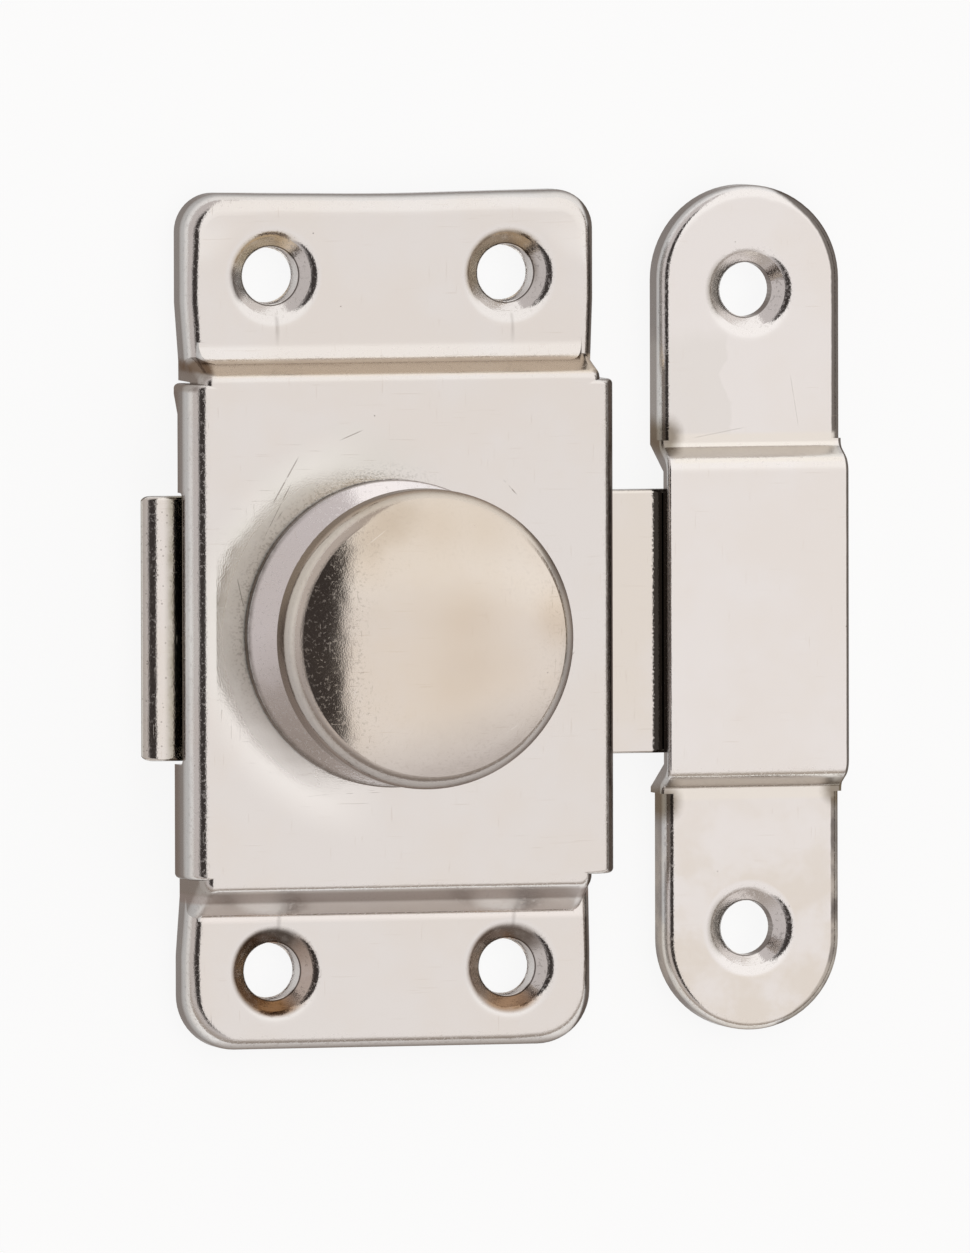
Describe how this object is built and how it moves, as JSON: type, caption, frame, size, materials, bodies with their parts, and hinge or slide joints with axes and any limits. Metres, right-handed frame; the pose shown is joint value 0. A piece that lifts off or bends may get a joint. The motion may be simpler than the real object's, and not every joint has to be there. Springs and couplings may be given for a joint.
{
  "type": "cabinet door bolt",
  "caption": "Surface-mounted cabinet door bolt: a pressed case with a sliding bar and a domed knob, and a separate bridge-shaped keep.",
  "frame": {"origin": "middle of the case's four screw holes, on the plane that the backs of both plates lie on", "axes": "+Z out of the door, to the knob; +X from the case to the keep, the way the bolt is thrown; +Y along the plates' length"},
  "size_m": [0.0506, 0.0598, 0.0194],
  "materials": {
    "case": "satin nickel plate on pressed steel",
    "keep": "satin nickel plate on pressed steel",
    "bolt": "satin nickel plate on steel strip",
    "knob_base": "nickel plate on turned steel",
    "knob_cap": "nickel plate on deep-drawn steel",
    "stem_rivet": "bare turned mild steel",
    "friction_spring": "blued spring steel"
  },
  "bodies": {
    "plates": {"case": "case", "keep": "keep"},
    "slider": {"bolt": "bolt", "knob_base": "knob_base", "knob_cap": "knob_cap", "stem_rivet": "stem_rivet", "friction_spring": "friction_spring"}
  },
  "joints": [
    {"name": "bolt_slide", "type": "slide", "parent": "plates", "child": "slider", "axis": [1, 0, 0], "range_m": [-0.008, 0]}
  ]
}
